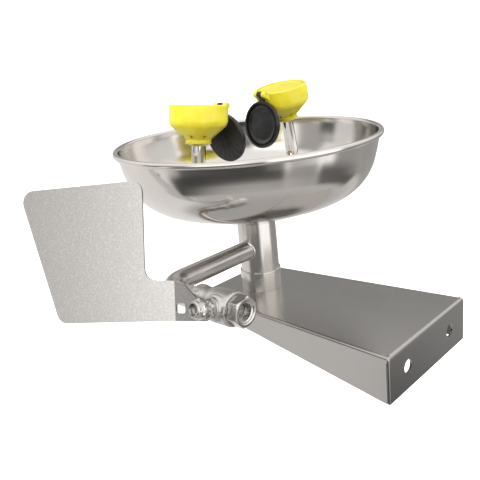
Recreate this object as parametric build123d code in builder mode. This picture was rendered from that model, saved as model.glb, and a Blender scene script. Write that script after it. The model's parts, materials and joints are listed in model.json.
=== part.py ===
"""Wall-mounted emergency eyewash: bowl on a drain column, two flip-cap heads, ball valve with a push flag."""
import math
import os

from build123d import *

os.makedirs("parts", exist_ok=True)

# ---- driving dimensions (millimetres) -------------------------------------------------------
# Origin: middle of the two wall holes, on the bracket's wall face.  +Y into the wall, +Z up.

# wall bracket, folded from one sheet
wall_width = 147.0
tip_width = 105.0
wall_depth = 45.0
tip_depth = 13.5
bracket_length = 252.7
sheet = 2.0
fold_radius = 3.0
hole_spacing = 82.0
wall_hole_radius = 6.5
corner_gap = 0.9

# column and bowl
column_from_tip = 48.7
column_radius = 21.0
column_bore_radius = 19.2
column_above = 78.0
column_below = 38.0
tail_radius = 20.4
tail_length = 24.0
tail_chamfer = 0.8
sleeve_wall = 1.4
sleeve_height = 22.0
bowl_radius = 140.0
bowl_height = 90.0
bowl_sheet = 1.5
bowl_seat_radius = 27.0
bowl_floor_slope = 18.4
bowl_wall_draft = 13.0
bowl_corner_radius = 55.0
lip_radius = 3.0
strainer_sheet = 1.5
strainer_spigot = 8.0
strainer_hole_radius = 1.6
strainer_holes = 12
slip_fit = 0.2
gasket_thickness = 1.5
nut_across_flats = 55.0
nut_height = 9.0

# supply pipe, riser and tee
pipe_radius = 10.4
pipe_bore_radius = 8.0
pipe_above_bracket = 47.0
pipe_bend_radius = 28.0
riser_foot = 16.0
tee_rise = 38.0
tee_radius = 12.5
tee_half_length = 24.0
arm_radius = 7.0
arm_bore_radius = 5.5
arm_bend_radius = 24.0
socket_depth = 10.0
collar_radius = 12.0
collar_width = 0.9

# eyewash heads, in their own frame: z along the head, x away from the bowl's middle
head_spread = 68.5
head_forward = 2.5
head_base_rise = {"right": 169.5, "left": 172.5}
head_lean = 9.0
head_turn = {"right": 0.0, "left": -4.5}
cup_radius = 28.5
cup_height = 39.0
cup_rim = 3.5
neck_radius = 12.4
neck_height = 5.0
cone_top = 20.5
grip_notches = 8
plate_thickness = 2.4
jet_radius = 0.9
screen_radius = 14.0
hinge_overhang = 3.3
hinge_height = 39.0
pin_radius = 1.4
pin_clearance = 0.06
knuckle_radius = 3.1
knuckle_length = 5.0
hinge_gap = 0.35
tongue_width = 6.4
cap_inset = 3.6
cap_thickness = 5.0
cap_recess = 3.0
cap_rim = 2.2
closed_gap = 0.4

# supply valve: flow along Y, stem turned up from +X
valve_inside_rim = 0.5
stem_from_column = 85.0
inlet_from_stem = 24.0
outlet_from_stem = 34.0
stem_tilt = 18.0
pipe_in_valve = 14.0
outlet_hex_length = 9.0
barrel_behind_stem = 14.0
packing_well = 7.0
packing_height = 4.0
packing_wall = 2.0
valve_radius = 16.0
socket_radius = 14.2
end_cap_flats = 25.0
end_cap_length = 12.0
inlet_bore_radius = 9.3
inlet_depth = 11.0
ball_radius = 11.6
ball_bore_radius = 7.5
ball_clearance = 0.15
seat_thickness = 2.6
stem_radius = 5.0
stem_clearance = 0.05
boss_radius = 9.4
boss_top = 20.0
gland_flats = 15.0
gland_height = 4.6
tab_start = 25.0
washer_radius = 9.0
washer_thickness = 1.5
lock_nut_flats = 16.5
lock_nut_hex = 6.5
lock_nut_collar = 7.2
lock_nut_height = 11.0

# push flag: a tab on the stem, bent once into the plate
flag_droop = 12.0
flag_bend = 22.0
flag_sheet = 2.0
flag_bend_radius = 3.0
tab_tip = 8.0
tab_top = 8.5
tab_bottom = -10.5
tab_length = 34.0
tab_shoulder = 24.0
flag_top = 115.0
flag_inner = 28.5
flag_outer_top = 160.0
flag_outer_bottom = 117.5
flag_corner = 11.0
slot_width = 11.3
slot_height = 8.6
slot_centre = -28.2

# ---- derived places -------------------------------------------------------------------------
bracket_top = wall_depth / 2
tip_y = -bracket_length
column_y = tip_y + column_from_tip
valve_x = bowl_radius - valve_inside_rim
stem_y = column_y + stem_from_column
inlet_y = stem_y + inlet_from_stem
outlet_y = stem_y - outlet_from_stem
plate_radius = cup_radius - cup_rim
cap_radius = cup_radius - cap_inset
hinge_reach = cup_radius + hinge_overhang
pipe_z = bracket_top + pipe_above_bracket
bowl_z = bracket_top + column_above
rim_z = bowl_z + bowl_height
tee_z = bowl_z + tee_rise
column_axis = Axis((0, column_y, 0), (0, 0, 1))
column_section = Plane(origin=(0, column_y, 0), x_dir=(1, 0, 0), z_dir=(0, -1, 0))


def column_plane(z):
    """Level plane centred on the column, z above the origin."""
    return Plane(origin=(0, column_y, z))


def save(builder, label):
    """Label a finished piece and write its STEP file."""
    builder.part.label = label
    export_step(builder.part, f"parts/{label}.step")


# ---- wall bracket ---------------------------------------------------------------------------
def bracket_outline(inset):
    """Top view of the bracket, inset from its outer faces."""
    half_wall = wall_width / 2 - inset
    half_tip = tip_width / 2 - inset
    return [
        (-half_wall, -inset),
        (half_wall, -inset),
        (half_tip, tip_y + inset),
        (-half_tip, tip_y + inset),
    ]


with BuildPart() as wall_bracket:
    with BuildSketch(Plane.XY.offset(bracket_top)):
        Polygon(*bracket_outline(0), align=None)
    extrude(amount=-wall_depth)
    fillet(wall_bracket.faces().sort_by(Axis.Z)[-1].edges(), fold_radius)
    with BuildSketch(Plane.XY.offset(bracket_top - sheet)):
        Polygon(*bracket_outline(sheet), align=None)
    extrude(amount=-wall_depth, mode=Mode.SUBTRACT)
    with BuildSketch(Plane.YZ):
        Polygon(
            (-sheet - fold_radius, -bracket_top),
            (tip_y - 1, bracket_top - tip_depth),
            (tip_y - 1, -bracket_top - 1),
            (-sheet - fold_radius, -bracket_top - 1),
            align=None,
        )
    extrude(amount=wall_width, both=True, mode=Mode.SUBTRACT)
    with BuildSketch(column_plane(bracket_top)):
        Circle(column_radius + slip_fit)
    extrude(amount=-wall_depth, mode=Mode.SUBTRACT)
    with BuildSketch(Plane.XZ):
        with GridLocations(hole_spacing, 0, 2, 1):
            Circle(wall_hole_radius)
    extrude(amount=sheet * 2, both=True, mode=Mode.SUBTRACT)
    for side in (-1, 1):
        with BuildSketch(Plane.XY.offset(bracket_top - sheet - fold_radius)):
            with Locations((side * wall_width / 2, -sheet - corner_gap / 2)):
                Rectangle(4 * sheet, corner_gap)
        extrude(amount=-wall_depth, mode=Mode.SUBTRACT)
save(wall_bracket, "wall_bracket")

with BuildPart() as column_sleeve:
    with BuildSketch(column_plane(bracket_top)):
        Circle(column_radius + sleeve_wall)
        Circle(column_radius, mode=Mode.SUBTRACT)
    extrude(amount=sleeve_height)
    fillet(column_sleeve.edges().group_by(Axis.Z)[-1].sort_by(SortBy.RADIUS)[-1], sleeve_wall * 0.6)
save(column_sleeve, "column_sleeve")

# ---- column, supply pipe and riser ----------------------------------------------------------
pipe_plane = Plane(origin=(0, column_y, pipe_z), x_dir=(0, 1, 0), z_dir=(1, 0, 0))

with BuildPart() as drain_column:
    with BuildSketch(column_plane(bracket_top - column_below)):
        Circle(column_radius)
        Circle(column_bore_radius, mode=Mode.SUBTRACT)
    extrude(amount=column_below + column_above)
    with BuildSketch(pipe_plane):
        Circle(pipe_radius)
    extrude(amount=2 * column_radius, mode=Mode.SUBTRACT)
    with BuildSketch(column_plane(bracket_top - column_below)):
        Circle(column_radius)
        Circle(tail_radius, mode=Mode.SUBTRACT)
    extrude(amount=tail_length + tail_chamfer, mode=Mode.SUBTRACT)
    chamfer(drain_column.edges().group_by(Axis.Z)[0].sort_by(SortBy.RADIUS)[-1], tail_chamfer)
save(drain_column, "drain_column")

with BuildPart() as column_lock_nut:
    with BuildSketch(column_plane(bracket_top - sheet)):
        RegularPolygon(nut_across_flats / 2, 6, major_radius=False)
        Circle(column_radius, mode=Mode.SUBTRACT)
    extrude(amount=-nut_height)
    chamfer(column_lock_nut.edges().group_by(Axis.Z)[0].filter_by(GeomType.LINE), 1.2)
save(column_lock_nut, "column_lock_nut")

riser_top = tee_z - tee_radius / 2
with BuildPart() as supply_riser:
    with BuildSketch(column_plane(pipe_z - riser_foot)):
        Circle(pipe_radius)
    extrude(amount=riser_top - pipe_z + riser_foot)
    with BuildSketch(column_plane(riser_top)):
        Circle(pipe_bore_radius)
    extrude(amount=pipe_z - riser_top - riser_foot + 2 * sheet, mode=Mode.SUBTRACT)
    with BuildSketch(pipe_plane):
        Circle(pipe_bore_radius)
    extrude(amount=2 * pipe_radius, mode=Mode.SUBTRACT)
save(supply_riser, "supply_riser")

pipe_end_y = outlet_y + pipe_in_valve
with BuildPart() as supply_pipe:
    with BuildLine() as pipe_line:
        FilletPolyline(
            (0, column_y, pipe_z),
            (valve_x, column_y, pipe_z),
            (valve_x, pipe_end_y, pipe_z),
            radius=pipe_bend_radius,
        )
    with BuildSketch(pipe_plane):
        Circle(pipe_radius)
        Circle(pipe_bore_radius, mode=Mode.SUBTRACT)
    sweep(path=pipe_line.line)
    with BuildSketch(column_plane(pipe_z - riser_foot)):
        Circle(pipe_radius)
    extrude(amount=2 * riser_foot, mode=Mode.SUBTRACT)
save(supply_pipe, "supply_pipe")

with BuildPart() as pipe_collar:
    with BuildSketch(pipe_plane):
        Circle(collar_radius)
        Circle(pipe_radius, mode=Mode.SUBTRACT)
    extrude(amount=column_radius + collar_width)
    fillet(pipe_collar.edges().group_by(Axis.X)[-1].sort_by(SortBy.RADIUS)[-1], collar_radius - pipe_radius - 0.6)
    with BuildSketch(column_plane(pipe_z - 2 * collar_radius)):
        Circle(column_radius)
    extrude(amount=4 * collar_radius, mode=Mode.SUBTRACT)
save(pipe_collar, "pipe_collar")

# ---- bowl, strainer and gasket --------------------------------------------------------------
floor_slope = math.radians(bowl_floor_slope)
wall_draft = math.radians(bowl_wall_draft)
wall_top_r = bowl_radius - 2 * lip_radius + bowl_sheet
wall_top_z = rim_z - lip_radius
seat_to_top = wall_top_z - bowl_z
corner_r = (
    wall_top_r - math.tan(wall_draft) * (seat_to_top + math.tan(floor_slope) * bowl_seat_radius)
) / (1 - math.tan(wall_draft) * math.tan(floor_slope))
corner_z = bowl_z + (corner_r - bowl_seat_radius) * math.tan(floor_slope)

with BuildPart() as bowl:
    with BuildSketch(column_section):
        with BuildLine():
            FilletPolyline(
                (column_bore_radius, bowl_z),
                (bowl_seat_radius, bowl_z),
                (corner_r, corner_z),
                (wall_top_r, wall_top_z),
                radius=[2.0, bowl_corner_radius],
            )
            offset(amount=bowl_sheet, side=Side.LEFT)
        make_face()
        with Locations((bowl_radius - lip_radius, wall_top_z)):
            Circle(lip_radius)
            Circle(lip_radius - bowl_sheet, mode=Mode.SUBTRACT)
        with Locations((bowl_radius - lip_radius + 1.2, wall_top_z - lip_radius)):
            Rectangle(2.4, 2.4, mode=Mode.SUBTRACT)
    revolve(axis=column_axis)
save(bowl, "bowl")

bowl_inside = bowl_z + bowl_sheet
with BuildPart() as drain_gasket:
    with BuildSketch(column_plane(bowl_inside)):
        Circle(bowl_seat_radius - 2.5)
        Circle(column_bore_radius, mode=Mode.SUBTRACT)
    extrude(amount=gasket_thickness)
save(drain_gasket, "drain_gasket")

strainer_z = bowl_inside + gasket_thickness
with BuildPart() as drain_strainer:
    with BuildSketch(column_section):
        spigot_r = column_bore_radius - slip_fit
        Polygon(
            (pipe_radius + slip_fit, strainer_z),
            (spigot_r - strainer_sheet, strainer_z),
            (spigot_r - strainer_sheet, bowl_z - strainer_spigot),
            (spigot_r, bowl_z - strainer_spigot),
            (spigot_r, strainer_z),
            (bowl_seat_radius - 2.5, strainer_z),
            (bowl_seat_radius - 2.5, strainer_z + strainer_sheet),
            (pipe_radius + slip_fit, strainer_z + strainer_sheet),
            align=None,
        )
    revolve(axis=column_axis)
    with BuildSketch(column_plane(strainer_z)):
        with PolarLocations((pipe_radius + spigot_r - strainer_sheet) / 2, strainer_holes):
            Circle(strainer_hole_radius)
    extrude(amount=2 * strainer_sheet, both=True, mode=Mode.SUBTRACT)
save(drain_strainer, "drain_strainer")

# ---- tee and arms ---------------------------------------------------------------------------
def spot(x, z):
    """Point in the heads' upright plane."""
    return Vector(x, column_y - head_forward, z)


tee_plane = Plane(origin=spot(0, tee_z), x_dir=(0, 1, 0), z_dir=(1, 0, 0))
with BuildPart() as supply_tee:
    with BuildSketch(tee_plane):
        Circle(tee_radius)
    extrude(amount=tee_half_length, both=True)
    with BuildSketch(column_plane(tee_z - 2 * tee_radius)):
        Circle(pipe_radius + 2.5)
    extrude(amount=2 * tee_radius)
    with BuildSketch(column_plane(tee_z - 2 * tee_radius)):
        Circle(pipe_radius)
    extrude(amount=2 * tee_radius - tee_radius / 2, mode=Mode.SUBTRACT)
    with BuildSketch(column_plane(riser_top)):
        Circle(pipe_bore_radius)
    extrude(amount=tee_radius / 2, mode=Mode.SUBTRACT)
    with BuildSketch(tee_plane):
        Circle(arm_bore_radius)
    extrude(amount=tee_half_length, both=True, mode=Mode.SUBTRACT)
    for side in (-1, 1):
        with BuildSketch(tee_plane.offset(side * (tee_half_length - socket_depth))):
            Circle(arm_radius)
        extrude(amount=side * socket_depth, mode=Mode.SUBTRACT)
    fillet(supply_tee.edges().filter_by(GeomType.CIRCLE).filter_by(lambda e: abs(e.radius - tee_radius) < 0.01), 1.2)
save(supply_tee, "supply_tee")

lean = math.radians(head_lean)
arm_start_x = tee_half_length - socket_depth


def head_frame(side, base_z, turn):
    """Head frame at the neck's lower face: z along the head, x away from the middle."""
    axis = Vector(-side * math.sin(lean), 0, math.cos(lean))
    outward = Vector(side * math.cos(lean), 0, math.sin(lean))
    origin = Vector(side * head_spread, column_y - head_forward, base_z)
    return Plane(origin=origin, x_dir=outward.rotate(Axis((0, 0, 0), axis), turn), z_dir=axis)


def ring_section(frame):
    """Section plane of a head, for turning its round pieces."""
    return Plane(origin=frame.origin, x_dir=frame.x_dir, z_dir=-frame.y_dir)


def head_line(frame):
    """Centre line of a head."""
    return Axis(frame.origin, frame.z_dir)


pin_length = 2 * knuckle_length + tongue_width + 2 * hinge_gap
lug_centre = (tongue_width + knuckle_length) / 2 + hinge_gap

for name, side in (("right", 1), ("left", -1)):
    base_z = bracket_top + head_base_rise[name]
    arm_corner_x = head_spread + (base_z - tee_z) * math.tan(lean)
    frame = head_frame(side, base_z, head_turn[name])
    section = ring_section(frame)
    line = head_line(frame)
    neck_socket = frame.origin + frame.z_dir * socket_depth * 0.8

    with BuildPart() as head_arm:
        with BuildLine() as arm_line:
            FilletPolyline(
                spot(side * arm_start_x, tee_z),
                spot(side * arm_corner_x, tee_z),
                neck_socket,
                radius=arm_bend_radius,
            )
        with BuildSketch(Plane(origin=arm_line.line @ 0, z_dir=arm_line.line % 0)):
            Circle(arm_radius)
            Circle(arm_bore_radius, mode=Mode.SUBTRACT)
        sweep(path=arm_line.line)
    save(head_arm, f"{name}_head_arm")

    with BuildPart() as head_cup:
        with BuildSketch(section):
            with BuildLine():
                FilletPolyline(
                    (neck_radius, 0),
                    (neck_radius, neck_height),
                    (cup_radius, cone_top),
                    (cup_radius, cup_height),
                    (plate_radius + 0.1, cup_height),
                    radius=[1.0, 5.0, 1.2],
                )
                Polyline(
                    (plate_radius + 0.1, cup_height),
                    (plate_radius + 0.1, cup_height - plate_thickness - 0.6),
                    (plate_radius - 1.5, cup_height - plate_thickness - 0.6),
                    (plate_radius - 1.5, cone_top + 2.0),
                    (screen_radius, neck_height + 6.5),
                    (arm_bore_radius, neck_height + 6.5),
                    (arm_bore_radius, socket_depth * 0.8),
                    (arm_radius, socket_depth * 0.8),
                    (arm_radius, 0),
                    (neck_radius, 0),
                )
            make_face()
        revolve(axis=line)
        with BuildSketch(frame.offset(neck_height + 1.0)):
            with PolarLocations(neck_radius + 1.6, grip_notches, start_angle=180 / grip_notches):
                Triangle(a=5.0, b=4.2, c=4.2, rotation=-90)
        extrude(amount=3.4, mode=Mode.SUBTRACT)
        hinge_plane = Plane(
            origin=frame.from_local_coords((-hinge_reach, 0, hinge_height)),
            x_dir=frame.x_dir,
            z_dir=-frame.y_dir,
        )
        for lug in (-1, 1):
            with BuildSketch(hinge_plane.offset(lug * lug_centre - knuckle_length / 2)):
                Polygon(
                    (0, knuckle_radius * 0.7),
                    (hinge_reach - cup_radius + 1.0, -1.5),
                    (hinge_reach - cup_radius + 1.0, -8.5),
                    (0, -knuckle_radius),
                    align=None,
                )
                Circle(knuckle_radius)
            extrude(amount=knuckle_length)
        with BuildSketch(hinge_plane):
            Circle(pin_radius)
        extrude(amount=pin_length, both=True, mode=Mode.SUBTRACT)
        with BuildSketch(frame.offset(cone_top)):
            Circle(plate_radius - 1.5)
        extrude(amount=cup_height - cone_top, mode=Mode.SUBTRACT)
    save(head_cup, f"{name}_head_cup")

    with BuildPart() as flow_screen:
        with BuildSketch(frame.offset(neck_height + 6.5)):
            Circle(screen_radius - 0.3)
            with PolarLocations(9.5, 18):
                Circle(1.0, mode=Mode.SUBTRACT)
            with PolarLocations(6.0, 12):
                Circle(1.0, mode=Mode.SUBTRACT)
            with PolarLocations(2.8, 6):
                Circle(1.0, mode=Mode.SUBTRACT)
        extrude(amount=0.8)
    save(flow_screen, f"{name}_flow_screen")

    with BuildPart() as spray_plate:
        with BuildSketch(frame.offset(cup_height - plate_thickness - 0.6)):
            Circle(plate_radius)
            for ring, jets in ((6.5, 6), (12.0, 12), (17.5, 18)):
                with PolarLocations(ring, jets):
                    Circle(jet_radius, mode=Mode.SUBTRACT)
        extrude(amount=plate_thickness)
        chamfer(spray_plate.edges().filter_by(GeomType.CIRCLE).sort_by(SortBy.RADIUS)[-1], 0.4)
    save(spray_plate, f"{name}_spray_plate")

    with BuildPart() as hinge_pin:
        with BuildSketch(hinge_plane):
            Circle(pin_radius)
        extrude(amount=pin_length / 2, both=True)
    save(hinge_pin, f"{name}_hinge_pin")

    cap_low = cup_height + closed_gap
    with BuildPart() as dust_cap:
        with BuildSketch(section):
            with BuildLine():
                Polyline(
                    (0, cap_low + cap_recess),
                    (cap_radius - cap_rim - 2.0, cap_low + cap_recess),
                    (cap_radius - cap_rim, cap_low),
                    (cap_radius - 0.5, cap_low),
                    (cap_radius, cap_low + 0.5),
                    (cap_radius, cap_low + cap_thickness - 1.2),
                    (cap_radius - 1.2, cap_low + cap_thickness),
                    (0, cap_low + cap_thickness),
                    (0, cap_low + cap_recess),
                )
            make_face()
        revolve(axis=line)
        with BuildSketch(hinge_plane.offset(-tongue_width / 2)):
            tongue_low = cap_low - hinge_height
            Polygon(
                (0, knuckle_radius),
                (hinge_reach - cap_radius + 2.5, tongue_low + cap_thickness - 1.2),
                (hinge_reach - cap_radius + 2.5, tongue_low + 0.5),
                (0, tongue_low + 0.1),
                align=None,
            )
            Circle(knuckle_radius)
        extrude(amount=tongue_width)
        with BuildSketch(hinge_plane):
            Circle(pin_radius + pin_clearance)
        extrude(amount=pin_length, both=True, mode=Mode.SUBTRACT)
    pin_line = Axis(hinge_plane.origin, hinge_plane.z_dir)
    mass = hinge_plane.to_local_coords(dust_cap.part.center(CenterOf.MASS))
    down = hinge_plane.to_local_coords(hinge_plane.origin - Vector(0, 0, 1))
    hang = math.degrees(math.atan2(down.Y, down.X) - math.atan2(mass.Y, mass.X))
    hanging = dust_cap.part.rotate(pin_line, hang)
    hanging.label = f"{name}_dust_cap"
    export_step(hanging, f"parts/{name}_dust_cap.step")
    swing = 360 + hang if hang < 0 else hang
    print(f"{name} cap closes after {swing:.2f} degrees, pin {hinge_plane.origin}, axis {hinge_plane.z_dir}")

# ---- supply valve ---------------------------------------------------------------------------
tilt = math.radians(stem_tilt)
stem_dir = Vector(math.cos(tilt), 0, math.sin(tilt))
valve_centre = Vector(valve_x, stem_y, pipe_z)
flow_line = Axis(valve_centre, (0, 1, 0))
flow_section = Plane(origin=(valve_x, 0, pipe_z), x_dir=-stem_dir.cross(Vector(0, 1, 0)), z_dir=stem_dir)
stem_plane = Plane(origin=valve_centre, x_dir=(0, 1, 0), z_dir=stem_dir)
body_end_y = inlet_y - end_cap_length
seat_y = ball_radius - 3.6


def flow_plane(y):
    """Plane square to the flow at y, looking towards the wall."""
    return Plane(origin=(valve_x, y, pipe_z), x_dir=stem_dir, z_dir=(0, 1, 0))


with BuildPart() as valve_body:
    with BuildSketch(flow_plane(outlet_y)):
        Circle(socket_radius)
    extrude(amount=stem_y - outlet_y)
    with BuildSketch(flow_plane(outlet_y)):
        RegularPolygon(socket_radius * 0.97, 6, major_radius=False)
    extrude(amount=outlet_hex_length)
    with BuildSketch(flow_plane(stem_y - barrel_behind_stem)):
        Circle(valve_radius)
    extrude(amount=body_end_y - stem_y + barrel_behind_stem)
    chamfer(valve_body.faces().sort_by(Axis.Y)[-1].edges(), 1.0)
    with BuildSketch(stem_plane):
        Circle(boss_radius)
    extrude(amount=boss_top)
    with BuildSketch(flow_plane(body_end_y)):
        Circle(ball_radius + 1.0)
    extrude(amount=stem_y - seat_y - seat_thickness - body_end_y, mode=Mode.SUBTRACT)
    with BuildSketch(flow_plane(outlet_y)):
        Circle(ball_bore_radius)
    extrude(amount=body_end_y - outlet_y, mode=Mode.SUBTRACT)
    with BuildSketch(flow_plane(outlet_y)):
        Circle(pipe_radius)
    extrude(amount=pipe_end_y - outlet_y, mode=Mode.SUBTRACT)
    with BuildSketch(stem_plane):
        Circle(stem_radius + stem_clearance)
    extrude(amount=boss_top, mode=Mode.SUBTRACT)
    with BuildSketch(stem_plane.offset(boss_top - packing_well)):
        Circle(stem_radius + packing_wall)
    extrude(amount=packing_well, mode=Mode.SUBTRACT)
save(valve_body, "valve_body")

with BuildPart() as valve_end_cap:
    with BuildSketch(flow_plane(inlet_y)):
        RegularPolygon(end_cap_flats / 2, 6, major_radius=False)
    extrude(amount=-end_cap_length)
    chamfer(valve_end_cap.edges().filter_by(GeomType.LINE).group_by(Axis.Y)[-1], 0.8)
    with BuildSketch(flow_plane(body_end_y)):
        Circle(ball_radius + 1.0)
    extrude(amount=stem_y + seat_y + seat_thickness - body_end_y)
    with BuildSketch(flow_plane(inlet_y)):
        Circle(inlet_bore_radius)
    extrude(amount=-inlet_depth, mode=Mode.SUBTRACT)
    with BuildSketch(flow_plane(inlet_y)):
        Circle(ball_bore_radius)
    extrude(amount=stem_y - inlet_y, mode=Mode.SUBTRACT)
save(valve_end_cap, "valve_end_cap")

with BuildPart() as valve_ball:
    with BuildSketch(flow_plane(stem_y)):
        with BuildLine():
            Line((-ball_radius, 0), (ball_radius, 0))
            CenterArc((0, 0), ball_radius, 0, 180)
        make_face()
    revolve(axis=Axis(valve_centre, stem_dir))
    with BuildSketch(Plane(origin=valve_centre, x_dir=(0, 1, 0), z_dir=stem_plane.y_dir)):
        Circle(ball_bore_radius)
    extrude(amount=ball_radius, both=True, mode=Mode.SUBTRACT)
    with BuildSketch(stem_plane.offset(ball_radius - 2.2)):
        Rectangle(2 * ball_radius, 3.0)
    extrude(amount=3.0, mode=Mode.SUBTRACT)
save(valve_ball, "valve_ball")

for name, side in (("inlet", 1), ("outlet", -1)):
    with BuildPart() as seat_ring:
        with BuildSketch(flow_plane(stem_y + side * (seat_y + seat_thickness))):
            Circle(ball_radius + 0.9)
            Circle(ball_bore_radius, mode=Mode.SUBTRACT)
        extrude(amount=-side * seat_thickness)
        with BuildSketch(flow_plane(stem_y)):
            with BuildLine():
                Line((-ball_radius - ball_clearance, 0), (ball_radius + ball_clearance, 0))
                CenterArc((0, 0), ball_radius + ball_clearance, 0, 180)
            make_face()
        revolve(axis=Axis(valve_centre, stem_dir), mode=Mode.SUBTRACT)
    save(seat_ring, f"{name}_seat_ring")

stud_end = tab_start + flag_sheet + washer_thickness + lock_nut_height - 0.5
with BuildPart() as valve_stem:
    with BuildSketch(stem_plane.offset(ball_radius + 0.3)):
        Circle(stem_radius)
    extrude(amount=stud_end - ball_radius - 0.3)
    with BuildSketch(stem_plane.offset(ball_radius - 2.0)):
        Rectangle(2 * stem_radius - 1.0, 2.8)
    extrude(amount=2.4)
    chamfer(valve_stem.edges().group_by(lambda e: round(stem_plane.to_local_coords(e.center()).Z, 3))[-1], 0.6)
save(valve_stem, "valve_stem")

with BuildPart() as stem_packing:
    with BuildSketch(stem_plane.offset(boss_top - packing_well)):
        Circle(stem_radius + packing_wall)
        Circle(stem_radius + stem_clearance, mode=Mode.SUBTRACT)
    extrude(amount=packing_height)
save(stem_packing, "stem_packing")

with BuildPart() as gland_nut:
    with BuildSketch(stem_plane.offset(boss_top - packing_well + packing_height)):
        Circle(stem_radius + packing_wall)
        Circle(stem_radius + stem_clearance, mode=Mode.SUBTRACT)
    extrude(amount=packing_well - packing_height)
    with BuildSketch(stem_plane.offset(boss_top)):
        RegularPolygon(gland_flats / 2, 6, major_radius=False)
        Circle(stem_radius + stem_clearance, mode=Mode.SUBTRACT)
    extrude(amount=gland_height)
save(gland_nut, "gland_nut")

# ---- push flag ------------------------------------------------------------------------------
droop = math.radians(flag_droop)
bend = math.radians(flag_bend)
rise_dir = stem_dir.cross(Vector(0, 1, 0))
wallward = Vector(0, 1, 0) * math.cos(droop) + rise_dir * math.sin(droop)
tab_plane = Plane(origin=valve_centre + stem_dir * tab_start, x_dir=wallward, z_dir=stem_dir)
bend_outer = flag_sheet + flag_bend_radius
bend_x = -tab_length
plate_plane = Plane(
    origin=tab_plane.from_local_coords(
        (bend_x - bend_outer * math.sin(bend), 0, bend_outer * (1 - math.cos(bend)))
    ),
    x_dir=tab_plane.x_dir * math.cos(bend) - tab_plane.z_dir * math.sin(bend),
    z_dir=tab_plane.z_dir * math.cos(bend) + tab_plane.x_dir * math.sin(bend),
)
bend_line = Axis(tab_plane.from_local_coords((bend_x, 0, bend_outer)), tab_plane.y_dir)

with BuildPart() as push_flag:
    with BuildSketch(tab_plane):
        with BuildLine():
            FilletPolyline(
                (bend_x, tab_bottom),
                (tab_tip, tab_bottom),
                (tab_tip, tab_top),
                (-8.0, tab_top),
                (-24.0, 21.5),
                (bend_x, tab_shoulder),
                radius=[7.5, 7.5, 8.0, 9.0],
            )
            Line((bend_x, tab_shoulder), (bend_x, tab_bottom))
        make_face()
        Circle(stem_radius + 0.1, mode=Mode.SUBTRACT)
        with Locations((slot_centre, 0.6)):
            RectangleRounded(slot_width, slot_height, 2.0, mode=Mode.SUBTRACT)
    extrude(amount=flag_sheet)
    bend_face = Plane(origin=tab_plane.from_local_coords((bend_x, 0, 0)), x_dir=tab_plane.y_dir, z_dir=wallward)
    with BuildSketch(bend_face):
        with Locations(((tab_bottom + tab_shoulder) / 2, flag_sheet / 2)):
            Rectangle(tab_shoulder - tab_bottom, flag_sheet)
    revolve(axis=bend_line, revolution_arc=flag_bend)
    with BuildSketch(plate_plane):
        with BuildLine():
            FilletPolyline(
                (0, tab_bottom),
                (-flag_outer_bottom, tab_bottom),
                (-flag_outer_top, flag_top),
                (-flag_inner, flag_top),
                (-flag_inner, tab_shoulder + 1.5),
                (0, tab_shoulder),
                radius=[flag_corner, flag_corner, flag_corner, flag_corner],
            )
            Line((0, tab_shoulder), (0, tab_bottom))
        make_face()
    extrude(amount=flag_sheet)
save(push_flag, "push_flag")

with BuildPart() as lock_washer:
    with BuildSketch(tab_plane.offset(flag_sheet)):
        Circle(washer_radius)
        Circle(stem_radius + 0.1, mode=Mode.SUBTRACT)
    extrude(amount=washer_thickness)
save(lock_washer, "lock_washer")

nut_start = flag_sheet + washer_thickness
with BuildPart() as flag_lock_nut:
    with BuildSketch(tab_plane.offset(nut_start)):
        RegularPolygon(lock_nut_flats / 2, 6, major_radius=False)
    extrude(amount=lock_nut_hex)
    with BuildSketch(tab_plane.offset(nut_start + lock_nut_hex)):
        Circle(lock_nut_collar)
    extrude(amount=lock_nut_height - lock_nut_hex)
    with BuildSketch(tab_plane.offset(nut_start)):
        Circle(stem_radius)
    extrude(amount=lock_nut_height, mode=Mode.SUBTRACT)
save(flag_lock_nut, "flag_lock_nut")
print(f"stem line {valve_centre} {stem_dir}")
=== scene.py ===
# %% [markdown]
# # A wall-mounted eyewash station
# A steel bowl stands on a drain column, and the column on a folded wall bracket. A pipe brings water from a
# ball valve, and a sheet-steel flag turns the valve. Two yellow heads stand in the bowl, each with a rubber
# cap on a hinge. The design comes in as a fixed frame, and this lesson makes the pieces that are seen.

# %% Load the frame
import json
import math

import bmesh
import bpy
from mathutils import Matrix, Vector


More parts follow.
